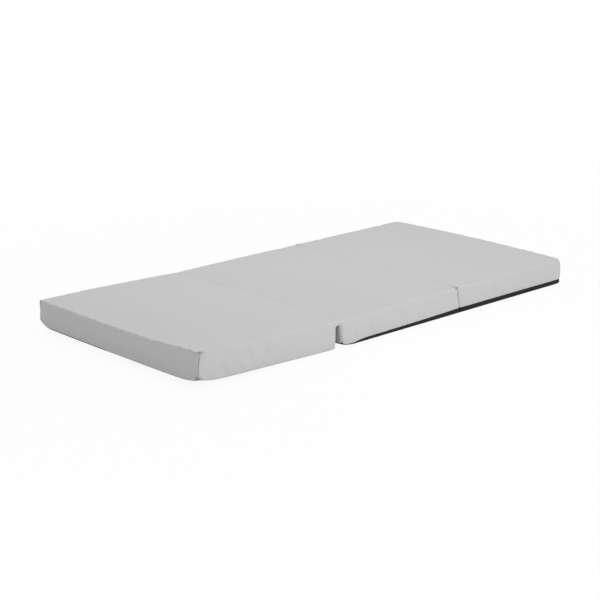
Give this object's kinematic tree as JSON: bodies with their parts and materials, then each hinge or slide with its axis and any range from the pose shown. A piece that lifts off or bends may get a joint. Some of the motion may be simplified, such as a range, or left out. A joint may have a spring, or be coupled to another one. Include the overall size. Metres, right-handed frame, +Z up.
{
  "type": "folding camping bed mattress",
  "caption": "Thin foam mattress for a travel cot or child's camping bed, in a sewn grey cover with a black underside; its three sections fold in a Z.",
  "frame": {"origin": "on the floor, under the middle of the unfolded mattress", "axes": "+X along the mattress from the head section to the foot section, +Y to the back long side that has the zips, +Z up"},
  "size_m": [1.2013, 0.6054, 0.0774],
  "materials": {
    "grey_fabric": "matte",
    "black_fabric": "matte",
    "foam": "matte",
    "zip_tape": "matte",
    "zip_chain": "satin",
    "zip_metal": "satin"
  },
  "bodies": {
    "middle_section": {"middle_foam_core": "foam", "middle_top_panel": "grey_fabric", "middle_underside_panel": "black_fabric", "middle_front_border": "grey_fabric", "middle_back_border": "grey_fabric", "middle_head_fold_border": "grey_fabric", "middle_foot_fold_border": "grey_fabric", "middle_zip_upper_tape": "zip_tape", "middle_zip_lower_tape": "zip_tape", "middle_zip_chain": "zip_chain", "top_fold_strip": "grey_fabric", "underside_fold_strip": "black_fabric"},
    "head_section": {"head_foam_core": "foam", "head_top_panel": "grey_fabric", "head_underside_panel": "black_fabric", "head_front_border": "grey_fabric", "head_back_border": "grey_fabric", "head_end_border": "grey_fabric", "head_fold_border": "grey_fabric", "head_zip_upper_tape": "zip_tape", "head_zip_lower_tape": "zip_tape", "head_zip_chain": "zip_chain"},
    "foot_section": {"foot_foam_core": "foam", "foot_top_panel": "grey_fabric", "foot_underside_panel": "black_fabric", "foot_front_border": "grey_fabric", "foot_back_border": "grey_fabric", "foot_end_border": "grey_fabric", "foot_fold_border": "grey_fabric", "foot_zip_upper_tape": "zip_tape", "foot_zip_lower_tape": "zip_tape", "foot_zip_chain": "zip_chain"},
    "head_slider": {"head_zip_slider": "zip_metal"},
    "head_pull": {"head_zip_pull": "zip_metal"},
    "middle_slider": {"middle_zip_slider": "zip_metal"},
    "middle_pull": {"middle_zip_pull": "zip_metal"},
    "foot_slider": {"foot_zip_slider": "zip_metal"},
    "foot_pull": {"foot_zip_pull": "zip_metal"}
  },
  "joints": [
    {"name": "head_fold", "type": "hinge", "parent": "middle_section", "child": "head_section", "pos_m": [-0.19892, 0, 0.0686], "axis": [0, 1, 0], "range_deg": [-1.71, 178.29]},
    {"name": "foot_fold", "type": "hinge", "parent": "middle_section", "child": "foot_section", "pos_m": [0.20367, 0, -0.0006], "axis": [0, 1, 0], "range_deg": [0, 180]},
    {"name": "head_zip_slide", "type": "slide", "parent": "head_section", "child": "head_slider", "axis": [0.9996, 0, -0.0299], "range_m": [0, 0.3068]},
    {"name": "head_pull_swing", "type": "hinge", "parent": "head_slider", "child": "head_pull", "pos_m": [-0.55692, 0.30351, 0.0432], "axis": [0.0299, 0, 0.9996], "range_deg": [0, 180]},
    {"name": "middle_zip_slide", "type": "slide", "parent": "middle_section", "child": "middle_slider", "axis": [1, 0, 0], "range_m": [0, 0.3068]},
    {"name": "middle_pull_swing", "type": "hinge", "parent": "middle_slider", "child": "middle_pull", "pos_m": [-0.14867, 0.30351, 0.0325], "axis": [0, 0, 1], "range_deg": [0, 180]},
    {"name": "foot_zip_slide", "type": "slide", "parent": "foot_section", "child": "foot_slider", "axis": [1, 0, 0], "range_m": [0, 0.3068]},
    {"name": "foot_pull_swing", "type": "hinge", "parent": "foot_slider", "child": "foot_pull", "pos_m": [0.24917, 0.30351, 0.0325], "axis": [0, 0, 1], "range_deg": [0, 180]}
  ]
}
